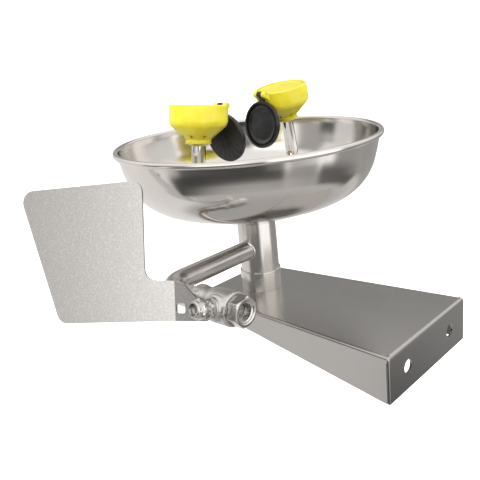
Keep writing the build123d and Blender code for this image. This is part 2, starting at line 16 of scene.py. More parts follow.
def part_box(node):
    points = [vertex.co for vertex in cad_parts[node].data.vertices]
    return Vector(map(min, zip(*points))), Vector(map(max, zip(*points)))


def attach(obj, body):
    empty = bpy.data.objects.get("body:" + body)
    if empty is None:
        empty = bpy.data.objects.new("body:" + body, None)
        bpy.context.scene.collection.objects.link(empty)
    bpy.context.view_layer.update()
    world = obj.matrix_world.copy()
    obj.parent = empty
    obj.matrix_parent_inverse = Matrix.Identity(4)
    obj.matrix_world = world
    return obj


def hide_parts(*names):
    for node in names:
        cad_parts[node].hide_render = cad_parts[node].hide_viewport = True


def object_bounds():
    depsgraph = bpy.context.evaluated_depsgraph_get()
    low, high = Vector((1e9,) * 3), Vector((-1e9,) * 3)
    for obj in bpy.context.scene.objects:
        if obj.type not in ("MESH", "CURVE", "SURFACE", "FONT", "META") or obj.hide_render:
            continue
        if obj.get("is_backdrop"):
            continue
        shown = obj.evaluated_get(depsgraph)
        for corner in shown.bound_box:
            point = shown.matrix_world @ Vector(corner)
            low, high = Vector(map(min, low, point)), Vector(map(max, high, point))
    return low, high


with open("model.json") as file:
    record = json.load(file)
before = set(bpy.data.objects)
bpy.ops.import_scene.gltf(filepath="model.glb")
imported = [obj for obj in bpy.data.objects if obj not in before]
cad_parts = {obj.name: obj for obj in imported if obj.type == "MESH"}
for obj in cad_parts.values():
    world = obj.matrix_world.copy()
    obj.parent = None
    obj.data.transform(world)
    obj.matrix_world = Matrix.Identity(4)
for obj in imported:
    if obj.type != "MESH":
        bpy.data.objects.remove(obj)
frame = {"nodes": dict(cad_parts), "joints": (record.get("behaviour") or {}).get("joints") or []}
cad_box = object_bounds()
MM = 0.001
print("frame box", [tuple(round(v, 3) for v in corner) for corner in cad_box])

# %% [markdown]
# ## Places taken from the frame
# Every piece goes where the design says, so the first helpers read the frame. A node's box gives its two
# corners in millimetres, and a joint gives its pin and its axis. A place is a matrix whose columns are the
# three directions of a small local frame, already scaled, so that outlines below are written in millimetres.


# %% Read boxes and joints, and make local frames
def box_mm(node):
    """The lowest and highest corner of a node, in millimetres."""
    low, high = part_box(node)
    return low / MM, high / MM


def middle(node):
    """The middle of a node's box, in metres."""
    low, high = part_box(node)
    return (low + high) / 2


def joint(name):
    """A joint's pin, in metres, and the unit vector along its axis."""
    found = next(j for j in frame["joints"] if j["name"] == name)
    return Vector(found["pos_m"]), Vector(found["axis"]).normalized()


def place(origin, along, across):
    """Local frame in millimetres: z along the piece, x as near to across as it can be."""
    z = Vector(along).normalized()
    x = (Vector(across) - z * z.dot(Vector(across))).normalized()
    y = z.cross(x)
    turn = Matrix((x, y, z)).transposed().to_4x4()
    return Matrix.Translation(origin) @ turn @ Matrix.Scale(MM, 4)


column = middle("drain_column")
upright = place((column.x, column.y, 0), (0, 0, 1), (1, 0, 0))
print("column stands at", tuple(round(v, 4) for v in column))

# %% [markdown]
# ## Outlines with round corners
# Bent sheet, drawn tube and moulded plastic all have corners that are arcs. One function rounds the corners
# of an outline, in two or three dimensions: it walks along the arc between the two points where the circle
# meets the straight runs. The same function then serves a bowl's section and a pipe's route.


# %% Round the corners of an outline
def rounded(points, radii, steps=8):
    """The points with an arc of the given radius at each corner. A radius of 0 keeps the corner."""
    corners = [Vector(p) for p in points]
    line = []
    for i, corner in enumerate(corners):
        if radii[i] == 0:
            line.append(corner)
            continue
        back = (corners[i - 1] - corner).normalized()
        ahead = (corners[(i + 1) % len(corners)] - corner).normalized()
        half = back.angle(ahead) / 2
        centre = corner + (back + ahead).normalized() * (radii[i] / math.sin(half))
        start = corner + back * (radii[i] / math.tan(half)) - centre
        end = corner + ahead * (radii[i] / math.tan(half)) - centre
        sweep = math.pi - 2 * half
        for k in range(steps + 1):
            share = k / steps
            spoke = start * math.sin((1 - share) * sweep) + end * math.sin(share * sweep)
            line.append(centre + spoke / math.sin(sweep))
    return line


def arc(centre, radius, start, end, steps=12):
    """Points of an arc, angles in degrees."""
    turns = [math.radians(start + (end - start) * k / steps) for k in range(steps + 1)]
    return [Vector((centre[0] + radius * math.cos(a), centre[1] + radius * math.sin(a))) for a in turns]


def beside(line, distance):
    """The line moved sideways by a distance, to the left of its direction."""
    moved = []
    for i, point in enumerate(line):
        run = line[min(i + 1, len(line) - 1)] - line[max(i - 1, 0)]
        moved.append(point + Vector((-run.y, run.x)).normalized() * distance)
    return moved


# %% [markdown]
# ## From points to pieces
# Most of this object is turned, so a lathe function is the main tool. It can also cut a hexagon: the radius
# at each angle is the smaller of the turned radius and the hexagon's, which is how a real nut gets its curved
# chamfers. A tube function carries a ring along a route without twisting it. All pieces end in one
# function that closes the mesh and marks only its true edges as sharp.


# %% Turn, sweep and extrude
SHARP = math.radians(32)
bevel_steps = 2


def piece(name, mesh):
    """A new object from a bmesh, smooth but for its sharp edges."""
    bmesh.ops.remove_doubles(mesh, verts=mesh.verts, dist=1e-7)
    bmesh.ops.recalc_face_normals(mesh, faces=mesh.faces)
    data = bpy.data.meshes.new(name)
    mesh.to_mesh(data)
    mesh.free()
    made = bpy.data.objects.new(name, data)
    bpy.context.scene.collection.objects.link(made)
    data.shade_smooth()
    data.set_sharp_from_angle(angle=SHARP)
    return made


def skin(mesh, rings, closed=False):
    """Faces between rings of vertices; a ring of one vertex is a tip."""
    pairs = list(zip(rings, rings[1:]))
    if closed:
        pairs.append((rings[-1], rings[0]))
    for a, b in pairs:
        for k in range(max(len(a), len(b))):
            around = [a[k % len(a)], a[(k + 1) % len(a)], b[(k + 1) % len(b)], b[k % len(b)]]
            unlike = list(dict.fromkeys(around))
            if len(unlike) > 2:
                mesh.faces.new(unlike)


def lathe(name, outline, where, steps=96, closed=False, flats=None):
    """Turn an outline of (radius, height). flats is a hexagon's width that limits the radius."""
    mesh = bmesh.new()
    rings = []
    for radius, height in outline:
        if radius < 1e-6:
            rings.append([mesh.verts.new(where @ Vector((0, 0, height)))])
            continue
        ring = []
        for k in range(steps):
            turn = 2 * math.pi * k / steps
            reach = radius
            if flats:
                off = (turn + math.pi / 6) % (math.pi / 3) - math.pi / 6
                reach = min(radius, flats / 2 / math.cos(off))
            spoke = Vector((reach * math.cos(turn), reach * math.sin(turn), height))
            ring.append(mesh.verts.new(where @ spoke))
        rings.append(ring)
    skin(mesh, rings, closed)
    return piece(name, mesh)


def tube(name, route, outer, inner, steps=48):
    """A pipe of two radii, in metres, along a route of points in metres."""
    mesh = bmesh.new()
    steep = abs((route[1] - route[0]).normalized().z) > 0.9
    across = Vector((0, 1, 0)) if steep else Vector((0, 0, 1))
    shells = {outer: [], inner: []}
    for i, point in enumerate(route):
        along = (route[min(i + 1, len(route) - 1)] - route[max(i - 1, 0)]).normalized()
        across = (across - along * along.dot(across)).normalized()
        other = along.cross(across)
        for radius, rings in shells.items():
            turns = [2 * math.pi * k / steps for k in range(steps)]
            spokes = [across * math.cos(t) + other * math.sin(t) for t in turns]
            rings.append([mesh.verts.new(point + spoke * radius) for spoke in spokes])
    skin(mesh, shells[outer] + shells[inner][::-1], closed=True)
    return piece(name, mesh)


def prism(name, outline, low, high, where):
    """A flat outline made solid between two heights."""
    mesh = bmesh.new()
    rings = [[mesh.verts.new(where @ Vector((p[0], p[1], z))) for p in outline] for z in (low, high)]
    skin(mesh, rings)
    for ring in rings:
        mesh.faces.new(ring)
    return piece(name, mesh)


def thread(name, crest, root, pitch, length, where, steps=48):
    """A screw thread: one ridge wound up a cylinder, or down a bore when crest is the smaller radius."""
    mesh = bmesh.new()
    ridge = [(root, 0.0), (root, 0.12), (crest, 0.46), (crest, 0.58), (root, 0.92), (root, 1.0)]
    count = int(length / pitch * steps)
    rows = []
    for i in range(count + 1):
        turn = 2 * math.pi * i / steps
        ease = min(1.0, i / steps * 2, (count - i) / steps * 2)
        row = []
        for radius, rise in ridge:
            reach = root + (radius - root) * ease
            height = min(length, pitch * (i / steps + rise - 0.5))
            spoke = Vector((reach * math.cos(turn), reach * math.sin(turn), height))
            row.append(mesh.verts.new(where @ spoke))
        rows.append(row)
    for a, b in zip(rows, rows[1:]):
        for k in range(len(ridge) - 1):
            mesh.faces.new((a[k], a[k + 1], b[k + 1], b[k]))
    return piece(name, mesh)


# %% [markdown]
# ## Joining and cutting
# A lug that grows out of a moulding, or a hole through a sheet, is one solid with it on the real object. The
# Boolean modifier does that, and its result is kept as the piece's mesh, so the cutters can go.


# %% Keep what modifiers make
def settle(made):
    """Apply a piece's modifiers and mark its sharp edges again."""
    graph = bpy.context.evaluated_depsgraph_get()
    data = bpy.data.meshes.new_from_object(made.evaluated_get(graph))
    made.modifiers.clear()
    made.data = data
    data.shade_smooth()
    data.set_sharp_from_angle(angle=SHARP)
    return made


def combine(made, others, operation):
    """Join other solids to a piece, or cut them from it."""
    for other in others:
        step = made.modifiers.new("step", "BOOLEAN")
        step.operation = operation
        step.solver = "EXACT"
        step.object = other
    settle(made)
    for other in others:
        bpy.data.objects.remove(other)
    return made


def flatten(made):
    """Let large faces set the shading, so that a flat sheet looks flat up to its edges."""
    shade = made.modifiers.new("flat_faces", "WEIGHTED_NORMAL")
    shade.mode = "FACE_AREA"
    shade.keep_sharp = True
    return made


def soften(made, width, angle=40):
    """A small round on every edge sharper than the angle, in millimetres and degrees."""
    edge = made.modifiers.new("edge", "BEVEL")
    edge.width = width * MM
    edge.segments = bevel_steps
    edge.limit_method = "ANGLE"
    edge.angle_limit = math.radians(angle)
    return settle(made)


# %% [markdown]
# ## Shader values as expressions
# Finishes are written as sums: roughness is a base value plus a little noise. A small class wraps one output
# of the shader tree, and arithmetic on it adds Math nodes. Every other node comes from one method, which
# takes the node's type, its settings and its sockets.


# %% The shader helpers
class Wire:
    """One output of a shader tree, which takes part in sums."""

    def __init__(self, finish, socket):
        self.finish = finish
        self.socket = socket

    def sum(self, operation, first, second):
        return self.finish.node("Math", {"operation": operation}, {0: first, 1: second})

    def __add__(self, other):
        return self.sum("ADD", self, other)

    def __radd__(self, other):
        return self.sum("ADD", other, self)

    def __sub__(self, other):
        return self.sum("SUBTRACT", self, other)

    def __rsub__(self, other):
        return self.sum("SUBTRACT", other, self)

    def __mul__(self, other):
        return self.sum("MULTIPLY", self, other)

    def __rmul__(self, other):
        return self.sum("MULTIPLY", other, self)

    def ramp(self, low, high, start=0.0, end=1.0):
        """Goes smoothly from start to end as this value goes from low to high."""
        return self.finish.node(
            "MapRange",
            {"interpolation_type": "SMOOTHSTEP"},
            {"Value": self, "From Min": low, "From Max": high, "To Min": start, "To Max": end},
        )


class Finish:
    """A material with its shader tree."""

    def __init__(self, name, colour, roughness, metallic=1.0, owner=None):
        self.owner = owner or bpy.data.materials.new(name)
        self.owner.use_nodes = True
        self.tree = self.owner.node_tree
        if owner:
            return
        self.shader = self.tree.nodes["Principled BSDF"]
        self.set("Base Color", (*colour, 1))
        self.set("Roughness", roughness)
        self.set("Metallic", metallic)

    def node(self, kind, settings=None, sockets=None, out=0):
        """Add a node: its settings first, then the values or links of its sockets."""
        made = self.tree.nodes.new("ShaderNode" + kind)
        for key, value in (settings or {}).items():
            setattr(made, key, value)
        for key, value in (sockets or {}).items():
            self.join(made.inputs[key], value)
        return Wire(self, made.outputs[out])

    def join(self, socket, value):
        if isinstance(value, Wire):
            self.tree.links.new(value.socket, socket)
        else:
            socket.default_value = value

    def set(self, name, value):
        self.join(self.shader.inputs[name], value)

    def spot(self, stretch=(1, 1, 1)):
        """The point on the object, in millimetres, stretched along its axes."""
        where = self.node("TexCoord", out=3)
        scale = [s / MM for s in stretch]
        return self.node("VectorMath", {"operation": "MULTIPLY"}, {0: where, 1: scale})

    def noise(self, size, stretch=(1, 1, 1), detail=2.0, at=None):
        """Noise whose blotches are about size millimetres across."""
        point = at or self.spot(stretch)
        return self.node("TexNoise", {}, {"Vector": point, "Scale": 1 / size, "Detail": detail})

    def tint(self, share, first, second):
        """Base colour between two colours."""
        colours = {6: (*first, 1), 7: (*second, 1)}
        mixed = self.node("Mix", {"data_type": "RGBA"}, {0: share, **colours}, out=2)
        self.set("Base Color", mixed)

    def bump(self, height, depth):
        """Relief: height runs from 0 to 1 over depth millimetres."""
        relief = self.node("Bump", {}, {"Height": height, "Distance": depth * MM, "Strength": 1.0})
        self.set("Normal", relief)


def put_on(made, finish, slot, body, *nodes):
    """Give a piece its finish and its body, and let it stand for CAD nodes."""
    made.data.materials.clear()
    made.data.materials.append(finish.owner)
    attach(made, body)
    if nodes:
        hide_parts(*nodes)
    print(f"{made.name}: {len(made.data.polygons)} faces on {body}")
    return made


# %% [markdown]
# ## Steel finishes
# Steel is one metal with many surfaces. A spun and polished bowl has faint rings round its axis. Polished
# tube has fine streaks along it, mill sheet a short grain, and a casting is matt and pebbled. Each finish
# below is the same metal colour with its own roughness, its own relief and a little unevenness of colour.

# %% Bowl, tube and sheet steel
steel = (0.64, 0.62, 0.60)
steel_dark = (0.52, 0.50, 0.485)
steel_warm = (0.70, 0.665, 0.63)


def ring_lines(finish, size):
    """Noise that changes with the distance from the column's axis and with height only."""
    point = finish.node("TexCoord", out=3)
    moved = finish.node("VectorMath", {"operation": "SUBTRACT"}, {0: point, 1: (column.x, column.y, 0)})
    flat = finish.node("VectorMath", {"operation": "MULTIPLY"}, {0: moved, 1: (1, 1, 0)})
    reach = finish.node("VectorMath", {"operation": "LENGTH"}, {0: flat}, out=1)
    rise = finish.node("SeparateXYZ", {}, {0: point}, out=2)
    rings = finish.node("CombineXYZ", {}, {0: reach * (1 / MM), 1: rise * (1 / MM), 2: 0.0})
    return finish.noise(size, detail=3.0, at=rings)


bowl_finish = Finish("polished_bowl_steel", steel, 0.12)
spun = ring_lines(bowl_finish, 0.7)
cloudy = bowl_finish.noise(38, detail=3.0)
bowl_finish.tint(cloudy.ramp(0.35, 0.7), steel, steel_warm)
bowl_finish.set("Roughness", 0.085 + spun * 0.05 + cloudy * 0.05)
bowl_finish.bump(spun * 0.6 + cloudy * 0.4, 0.012)

tube_finish = Finish("polished_tube_steel", steel, 0.2)
streak = tube_finish.noise(1.6, (1, 1, 0.05), 3.0)
cloudy = tube_finish.noise(22)
tube_finish.tint(streak * 0.7 + cloudy * 0.3, steel_dark, steel_warm)
tube_finish.set("Roughness", 0.15 + streak * 0.12)
tube_finish.bump(streak, 0.01)

pipe_finish = Finish("polished_pipe_steel", steel, 0.2)
scuff = pipe_finish.noise(3.0, (0.12, 1, 1), 3.0)
pipe_finish.tint(scuff.ramp(0.3, 0.75), steel_dark, steel_warm)
pipe_finish.set("Roughness", 0.14 + scuff * 0.12)
pipe_finish.bump(scuff, 0.008)

sheet_finish = Finish("mill_sheet_steel", steel_dark, 0.28)
grain = sheet_finish.noise(0.9, (1, 0.06, 1), 4.0)
wear = sheet_finish.noise(45, detail=4.0)
sheet_finish.tint(grain * 0.6 + wear * 0.4, (0.41, 0.40, 0.39), (0.50, 0.485, 0.47))
sheet_finish.set("Roughness", 0.14 + grain * 0.07 + wear * 0.06)
sheet_finish.bump(grain * 0.7 + wear * 0.3, 0.004)

# %% [markdown]
# The push flag is thin stainless sheet with a mottled, speckled surface, as if it had been tumbled. Fine
# cells of slightly different tone make the speckle, and larger clouds make it uneven.

# %% Flag, casting and machined steel
flag_finish = Finish("speckled_flag_steel", steel_warm, 0.4)
speck = flag_finish.noise(0.85, detail=4.0)
cell = flag_finish.node("TexVoronoi", {"feature": "F1"}, {"Vector": flag_finish.spot(), "Scale": 0.55})
cloudy = flag_finish.noise(26, detail=3.0)
flag_finish.tint((speck * 0.6 + cell * 0.3).ramp(0.3, 0.7), (0.62, 0.605, 0.59), (0.80, 0.775, 0.755))
flag_finish.set("Roughness", 0.22 + speck * 0.12 + cloudy * 0.06)
flag_finish.bump(speck * 0.5 + cell * 0.5, 0.022)

cast_finish = Finish("cast_valve_steel", steel, 0.38)
pebble = cast_finish.noise(0.9, detail=5.0)
cloudy = cast_finish.noise(7)
cast_finish.tint(pebble.ramp(0.3, 0.7), (0.50, 0.49, 0.48), (0.68, 0.665, 0.65))
cast_finish.set("Roughness", 0.27 + pebble * 0.2)
cast_finish.bump(pebble * 0.7 + cloudy * 0.3, 0.09)

turned_finish = Finish("machined_steel", steel, 0.22)
tooling = turned_finish.noise(0.5, (0.2, 1, 1), 3.0)
turned_finish.tint(tooling.ramp(0.3, 0.8), (0.55, 0.54, 0.52), (0.74, 0.71, 0.69))
turned_finish.set("Roughness", 0.13 + tooling * 0.16)
turned_finish.bump(tooling, 0.015)

chrome_finish = Finish("chromed_tube", (0.78, 0.77, 0.76), 0.06)
haze = chrome_finish.noise(9)
chrome_finish.tint(haze, (0.72, 0.71, 0.70), (0.82, 0.81, 0.80))
chrome_finish.set("Roughness", 0.04 + haze * 0.05)

screen_finish = Finish("screen_steel", steel, 0.3)
mesh_noise = screen_finish.noise(1.2)
screen_finish.tint(mesh_noise, steel_dark, steel)
screen_finish.set("Roughness", 0.22 + mesh_noise * 0.15)

# %% [markdown]
# ## Plastic and rubber
# The heads are glossy moulded plastic: strong yellow with a faint orange-peel surface, and slightly deeper
# colour where the moulding is thick. The caps are soft black rubber, matt, with fine dust and handling marks.

# %% Yellow plastic, black rubber and seals
yellow_finish = Finish("yellow_plastic", (0.64, 0.55, 0.025), 0.3, metallic=0.0)
peel = yellow_finish.noise(1.4, detail=2.0)
depth_tone = yellow_finish.noise(14)
yellow_finish.tint(depth_tone.ramp(0.3, 0.7), (0.58, 0.495, 0.02), (0.64, 0.56, 0.032))
yellow_finish.set("Roughness", 0.15 + peel * 0.09)
yellow_finish.bump(peel, 0.02)
yellow_finish.shader.inputs["Subsurface Weight"].default_value = 0.08
yellow_finish.shader.inputs["Subsurface Scale"].default_value = 0.004

rubber_finish = Finish("black_rubber", (0.018, 0.018, 0.02), 0.42, metallic=0.0)
dust = rubber_finish.noise(0.8, detail=5.0)
marks = rubber_finish.noise(11, detail=3.0)
handled = (dust * 0.5 + marks * 0.5).ramp(0.45, 0.75)
rubber_finish.tint(handled, (0.008, 0.008, 0.009), (0.032, 0.032, 0.035))
rubber_finish.set("Roughness", 0.2 + dust * 0.12 + marks * 0.08)
rubber_finish.bump(dust, 0.03)

seal_finish = Finish("white_seal", (0.8, 0.8, 0.78), 0.45, metallic=0.0)
waxy = seal_finish.noise(4)
seal_finish.tint(waxy, (0.74, 0.74, 0.72), (0.84, 0.84, 0.82))
seal_finish.set("Roughness", 0.38 + waxy * 0.15)

gasket_finish = Finish("gasket_rubber", (0.03, 0.03, 0.03), 0.6, metallic=0.0)
grit = gasket_finish.noise(0.7)
gasket_finish.tint(grit, (0.02, 0.02, 0.02), (0.05, 0.05, 0.05))
gasket_finish.set("Roughness", 0.5 + grit * 0.2)
print("finishes made:", len(bpy.data.materials))

# %% [markdown]
# ## The bowl
# A round basin spun from one disc of sheet: a flat seat on the column, a gently sloping floor, a large round
# into the wall, and a rolled lip. It could be a squashed sphere, but then the light would slide over it
# wrongly. Turning its true section keeps the wall's slope and the tight roll of the lip.

# %% Turn the bowl
bowl_low, bowl_high = box_mm("bowl")
bowl_radius = (bowl_high.x - bowl_low.x) / 2
bowl_sheet = 1.5
lip = 3.0
seat_radius = 27.0
seat_round = 2.0
floor_slope = math.tan(math.radians(18.4))
wall_draft = math.tan(math.radians(13.0))
corner_sweep = 55.0
belly_drop = 11.0
belly_out = 0.75
belly_sweep = 150.0
bore = 19.2
wall_top = Vector((bowl_radius - 2 * lip + bowl_sheet, bowl_high.z - lip))
bend_radius = (wall_top.x - wall_draft * (wall_top.y - bowl_low.z + floor_slope * seat_radius)) / (
    1 - wall_draft * floor_slope
)
bend = (bend_radius, bowl_low.z + (bend_radius - seat_radius) * floor_slope)
wall_end = Vector((wall_top.x, wall_top.y - lip))
wall_run = (wall_end - Vector(bend)).normalized()
belly = wall_end - wall_run * belly_drop + Vector((wall_run.y, -wall_run.x)) * belly_out
outside = rounded(
    [(bore, bowl_low.z), (seat_radius, bowl_low.z), bend, belly, wall_end],
    [0, seat_round, corner_sweep, belly_sweep, 0],
    steps=24,
)
inside = beside(outside, bowl_sheet)
inside[0] = Vector((bore, bowl_low.z + bowl_sheet))
roll = arc((bowl_radius - lip, wall_top.y), lip, -110, 180, steps=20)
bowl = lathe("bowl_spun", outside + roll + inside[::-1], upright, steps=160, closed=True)
put_on(bowl, bowl_finish, "polished_steel", "stand", "bowl")

# %% [markdown]
# ## The wall bracket
# One sheet folded down on all four sides, deep at the wall and shallow at the tip. The skin is a stack of
# rounded trapezoids: the first ones follow the quarter round of the fold, and the last one lies on the
# sloping lower edge. A slit stays open beside the wall flange, where two folds of a real sheet cannot meet.

# %% Fold the bracket
bracket_low, bracket_high = box_mm("wall_bracket")
fold = 3.0
sheet = 2.0
tip_half = 52.5
tip_drop = 13.5
corner_round = 1.6
slit = 0.9
fold_steps = 7
flat_margin = 0.8
wall_half = bracket_high.x
tip_y = bracket_low.y


def side_x(y):
    """Half width of the bracket at a distance from the wall."""
    return wall_half + (wall_half - tip_half) * y / -tip_y


def lower_edge(y):
    """Height of the lower edge: level along the wall flange, then rising to the tip."""
    share = max(0.0, (-y - sheet - fold) / (-tip_y - sheet - fold))
    return bracket_low.z + share * (bracket_high.z - tip_drop - bracket_low.z)


def bracket_loop(inset):
    """Top view of the bracket, with the ends of the slit as points on the sides."""
    marks = [-sheet, -sheet - slit, -sheet - fold, tip_y / 3, tip_y * 2 / 3]
    marks = [min(y, -inset - 0.1 * (k + 1)) for k, y in enumerate(marks)]
    side = [(side_x(y) - inset, y) for y in marks]
    wall_corner = (wall_half - inset, -inset)
    tip_corner = (tip_half - inset, tip_y + inset)
    half = [wall_corner, *side, tip_corner]
    turn = max(corner_round - inset, 0.05)
    radii = [turn] + [0] * len(side) + [turn]
    outline = half + [(-x, y) for x, y in reversed(half)]
    return rounded(outline, radii + radii[::-1], steps=4)


mesh = bmesh.new()
flat_rim = bracket_loop(fold + flat_margin)
rings = [[mesh.verts.new(Vector((p.x, p.y, bracket_high.z)) * MM) for p in flat_rim]]
for k in range(fold_steps + 1):
    angle = math.pi / 2 * k / fold_steps
    loop = bracket_loop(fold * (1 - math.sin(angle)))
    height = bracket_high.z - fold * (1 - math.cos(angle))
    rings.append([mesh.verts.new(Vector((p.x, p.y, height)) * MM) for p in loop])
loop = bracket_loop(0)
for heights in ([bracket_high.z - fold - sheet] * len(loop), [lower_edge(p.y) for p in loop]):
    rings.append([mesh.verts.new(Vector((p.x, p.y, z)) * MM) for p, z in zip(loop, heights)])
mesh.faces.new(rings[0])
skin(mesh, rings)
slit_faces = []
for face in mesh.faces:
    spot = face.calc_center_median() / MM
    if -sheet - slit < spot.y < -sheet and spot.z < bracket_high.z - fold - sheet:
        slit_faces.append(face)
bmesh.ops.delete(mesh, geom=slit_faces, context="FACES")
bracket = piece("wall_bracket_folded", mesh)
thick = bracket.modifiers.new("sheet", "SOLIDIFY")
thick.thickness = sheet * MM
thick.offset = -1
settle(bracket)
hole_spacing = 82.0
hole_radius = 6.5
drill_reach = 6.0


def drill(radius, low, high, where):
    """A plain cylinder that cuts a hole."""
    return lathe("drill", [(0, low), (radius, low), (radius, high), (0, high)], where)


drills = []
for x in (-hole_spacing / 2, hole_spacing / 2):
    at = place((x * MM, 0, 0), (0, 1, 0), (1, 0, 0))
    drills.append(drill(hole_radius, -drill_reach, drill_reach, at))
column_low, column_high = box_mm("drain_column")
column_radius = (column_high.x - column_low.x) / 2
column_room = 0.2
drills.append(drill(column_radius + column_room, 10, 40, upright))
flatten(combine(bracket, drills, "DIFFERENCE"))
put_on(bracket, sheet_finish, "bracket_sheet", "stand", "wall_bracket")

# %% [markdown]
# ## Column, sleeve and supply pipe
# The drain column is a thick tube with a short sleeve where it stands on the bracket, which covers the edge
# of the hole. Below the bracket its foot is turned down a little for the drain hose. Both are outlines with
# eased edges, turned on the lathe.

# %% Turn the column and sleeve
wall_in = 1.8
foot_radius = 20.4
foot_top = column_low.z + 24.8
edge_ease = 0.8
column_outline = rounded(
    [
        (foot_radius, column_low.z),
        (foot_radius, foot_top),
        (column_radius, foot_top),
        (column_radius, column_high.z),
        (column_radius - wall_in, column_high.z),
        (column_radius - wall_in, column_low.z),
    ],
    [edge_ease, 0.1, 0.1, 0.2, 0.2, 0.2],
    steps=4,
)
column_piece = lathe("drain_column_tube", column_outline, upright, closed=True)
put_on(column_piece, tube_finish, "column_steel", "stand", "drain_column")

sleeve_low, sleeve_high = box_mm("column_sleeve")
sleeve_radius = (sleeve_high.x - sleeve_low.x) / 2
sleeve_inner = column_radius - 0.05
sleeve_outline = rounded(
    [
        (sleeve_radius, sleeve_low.z),
        (sleeve_radius, sleeve_high.z),
        (sleeve_inner, sleeve_high.z),
        (sleeve_inner, sleeve_low.z),
    ],
    [0.15, edge_ease, 0.1, 0.1],
    steps=5,
)
sleeve = lathe("column_sleeve_ring", sleeve_outline, upright, closed=True)
put_on(sleeve, tube_finish, "column_steel", "stand", "column_sleeve")

# %% [markdown]
# The supply pipe leaves the column, turns once towards the wall and ends in the valve. Its route is two
# straight runs and one arc. A bright weld bead runs round it at the column. The bead could be a texture, but
# it catches the light as a ring, so it is a thin torus that follows the saddle where two cylinders meet.

# %% Sweep the supply pipe and lay the weld bead
pipe_low, pipe_high = box_mm("supply_pipe")
pipe_radius = (pipe_high.z - pipe_low.z) / 2
pipe_z = (pipe_high.z + pipe_low.z) / 2
pipe_wall = 2.4
pipe_bend = 28.0
pipe_start = 11.0
pipe_x = pipe_high.x - pipe_radius
pipe_route = rounded(
    [
        (pipe_start, column.y / MM, pipe_z),
        (pipe_x, column.y / MM, pipe_z),
        (pipe_x, pipe_high.y, pipe_z),
    ],
    [0, pipe_bend, 0],
    steps=32,
)
pipe_bore = pipe_radius - pipe_wall
pipe = tube("supply_pipe_bent", [p * MM for p in pipe_route], pipe_radius * MM, pipe_bore * MM, 64)
put_on(pipe, pipe_finish, "column_steel", "stand", "supply_pipe")

bead = 1.0
bead_waver = 0.12
bead_ripples = 30
bead_steps = 96
bead_sides = 10
mesh = bmesh.new()
rings = []
for k in range(bead_steps):
    turn = 2 * math.pi * k / bead_steps
    out = Vector((0, math.cos(turn), math.sin(turn)))
    depth = math.sqrt(column_radius**2 - (pipe_radius * math.cos(turn)) ** 2)
    centre = Vector((depth, column.y / MM, pipe_z)) + out * pipe_radius
    centre += out * bead_waver * math.sin(turn * bead_ripples)
    circle = [2 * math.pi * s / bead_sides for s in range(bead_sides)]
    spokes = [out * math.cos(c) + Vector((1, 0, 0)) * math.sin(c) for c in circle]
    rings.append([mesh.verts.new((centre + spoke * bead) * MM) for spoke in spokes])
skin(mesh, rings, closed=True)
weld = piece("pipe_weld_bead", mesh)
put_on(weld, chrome_finish, "column_steel", "stand", "pipe_collar")

# %% [markdown]
# ## The valve
# A two-piece ball valve. Its body is an investment casting, so every inner corner is a soft round. Turned
# solids give the barrel, the neck for the outlet and the boss for the stem; a voxel remesh melts them into
# one skin, and a little smoothing turns the creases between them into casting rounds.

# %% Cast the valve body
valve_at, stem_way = joint("flag_turn")
stem_place = place(valve_at, stem_way, (0, 1, 0))
flow_place = place(valve_at, (0, 1, 0), stem_way)
body_low, body_high = box_mm("valve_body")
stem_y = valve_at.y / MM
back = body_low.y - stem_y
front = body_high.y - stem_y
barrel_radius = 16.0
neck_radius = 14.2
cavity_radius = 12.6
cavity_end = -14.0
hex_flats = 26.6
hex_corner = 14.8
hex_length = 9.5
barrel = [
    (pipe_radius, back),
    (neck_radius - 0.6, back),
    (neck_radius, back + 0.8),
    (neck_radius - 0.4, back + 10.0),
    (neck_radius - 1.6, back + 14.5),
    (barrel_radius - 0.9, -13.0),
    (barrel_radius - 0.15, -10.0),
    (barrel_radius - 0.15, front - 1.2),
    (barrel_radius - 1.0, front),
    (cavity_radius, front),
    (cavity_radius, cavity_end),
    (pipe_radius, cavity_end),
]
casting = lathe("valve_body_cast", barrel, flow_place, closed=True)
boss_top = 20.0
boss = [(0, 12.9), (12.2, 12.9), (11.2, 15.2), (9.3, 16.6), (9.2, boss_top), (0, boss_top)]
wing_half = (13.5, 3.2)
wing_corners = [(i * wing_half[0], j * wing_half[1]) for i, j in ((-1, -1), (1, -1), (1, 1), (-1, 1))]
wings = prism("wings", wing_corners, 13.0, 16.8, stem_place)
hexagon = lathe(
    "hexagon",
    [
        (0, back),
        (13.6, back),
        (hex_corner, back + 1.2),
        (hex_corner, back + hex_length - 1.0),
        (13.2, back + hex_length),
        (0, back + hex_length),
    ],
    flow_place,
    flats=hex_flats,
)
combine(hexagon, [drill(pipe_radius, back - 1, cavity_end, flow_place)], "DIFFERENCE")
combine(casting, [lathe("boss", boss, stem_place), wings, hexagon], "UNION")
melt = casting.modifiers.new("melt", "REMESH")
melt.mode = "VOXEL"
melt.voxel_size = 0.55 * MM
soft = casting.modifiers.new("soft", "SMOOTH")
soft.factor = 0.5
soft.iterations = 6
settle(casting)
put_on(casting, cast_finish, "cast_steel", "stand", "valve_body")

# %% [markdown]
# The end cap screws into the body. It is a hexagon with a bored and threaded mouth for the supply line, and
# the thread is real geometry: one ridge wound down the bore.

